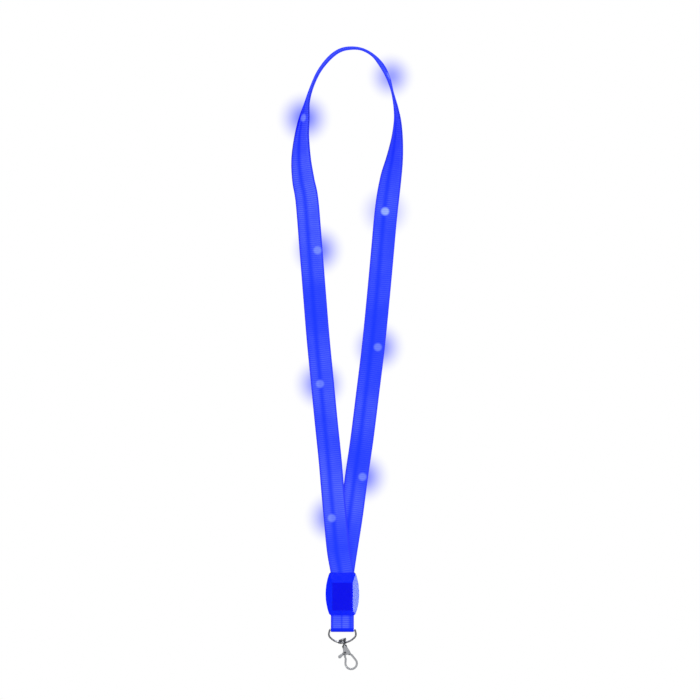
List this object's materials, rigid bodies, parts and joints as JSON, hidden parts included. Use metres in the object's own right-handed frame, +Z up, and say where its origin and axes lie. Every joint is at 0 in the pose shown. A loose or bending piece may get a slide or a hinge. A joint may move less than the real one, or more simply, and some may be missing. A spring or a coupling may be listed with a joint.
{
  "type": "light-up neck lanyard",
  "caption": "Hollow ribbon neck loop with lamps inside, a battery module at its ends, a webbing tab, a half-moon ring and a swivelling claw hook.",
  "frame": {"origin": "inner side of the loop's top, where the ribbon lies on the neck", "axes": "+Z up along the hanging lanyard, -Y out of the module's front, +X to the viewer's right"},
  "size_m": [0.097, 0.02, 0.5407],
  "materials": {
    "strap_fabric": "ribbed woven polyester ribbon, translucent over the lamps",
    "tab_fabric": "ribbed woven polyester webbing",
    "case_plastic": "glossy moulded plastic",
    "door_plastic": "moulded plastic",
    "button_plastic": "translucent white plastic",
    "black_plastic": "moulded black plastic",
    "board": "solder mask on glass fibre",
    "ceramic": "chip resistor",
    "cell_steel": "nickel-plated steel",
    "contact_brass": "spring brass",
    "steel": "plain steel",
    "nickel": "polished nickel plate",
    "wire_red": "insulated wire",
    "wire_black": "insulated wire",
    "lamp": "clear lamp body, lit"
  },
  "bodies": {
    "root": {"strap_sleeve": "strap_fabric", "wire_positive": "wire_red", "wire_negative": "wire_black", "lamp_1": "lamp", "lamp_2": "lamp", "lamp_3": "lamp", "lamp_4": "lamp", "lamp_5": "lamp", "lamp_6": "lamp", "lamp_7": "lamp", "lamp_8": "lamp", "front_cover": "case_plastic", "back_cover": "case_plastic", "case_screws": "steel", "switch_body": "black_plastic", "circuit_board": "board", "driver_chip": "black_plastic", "resistors": "ceramic", "battery_front": "cell_steel", "battery_rear": "cell_steel", "contact_negative": "contact_brass", "contact_positive": "contact_brass", "tab_webbing": "tab_fabric", "tab_pin": "steel"},
    "door": {"battery_door": "door_plastic"},
    "button": {"button_cap": "button_plastic", "switch_plunger": "black_plastic"},
    "ring": {"d_ring": "nickel"},
    "swivel": {"swivel_stud": "nickel"},
    "claw": {"claw_body": "nickel", "trigger_pin": "steel", "trigger_spring": "steel"},
    "trigger": {"trigger": "nickel"}
  },
  "joints": [
    {"name": "door_turn", "type": "hinge", "parent": "root", "child": "door", "pos_m": [0, 0.0075, -0.4745], "axis": [0, -1, 0], "range_deg": [0, 40]},
    {"name": "button_press", "type": "slide", "parent": "root", "child": "button", "axis": [0, -1, 0], "range_m": [0, 0.0004], "stiffness_N_per_m": 1000, "springref_m": -0.0005},
    {"name": "ring_swing", "type": "hinge", "parent": "root", "child": "ring", "pos_m": [0, 0, -0.501], "axis": [1, 0, 0], "range_deg": [-120, 120]},
    {"name": "swivel_tilt", "type": "hinge", "parent": "ring", "child": "swivel", "pos_m": [0, 0, -0.5097], "axis": [0, 1, 0], "range_deg": [-2, 38]},
    {"name": "claw_spin", "type": "hinge", "parent": "swivel", "child": "claw", "pos_m": [0, 0, -0.5097], "axis": [0.309, 0, -0.9511], "continuous": true},
    {"name": "trigger_open", "type": "hinge", "parent": "claw", "child": "trigger", "pos_m": [0.00232, 0, -0.52072], "axis": [0, -1, 0], "range_deg": [0, 28], "stiffness_Nm_per_rad": 0.02, "springref_deg": -17.19}
  ]
}
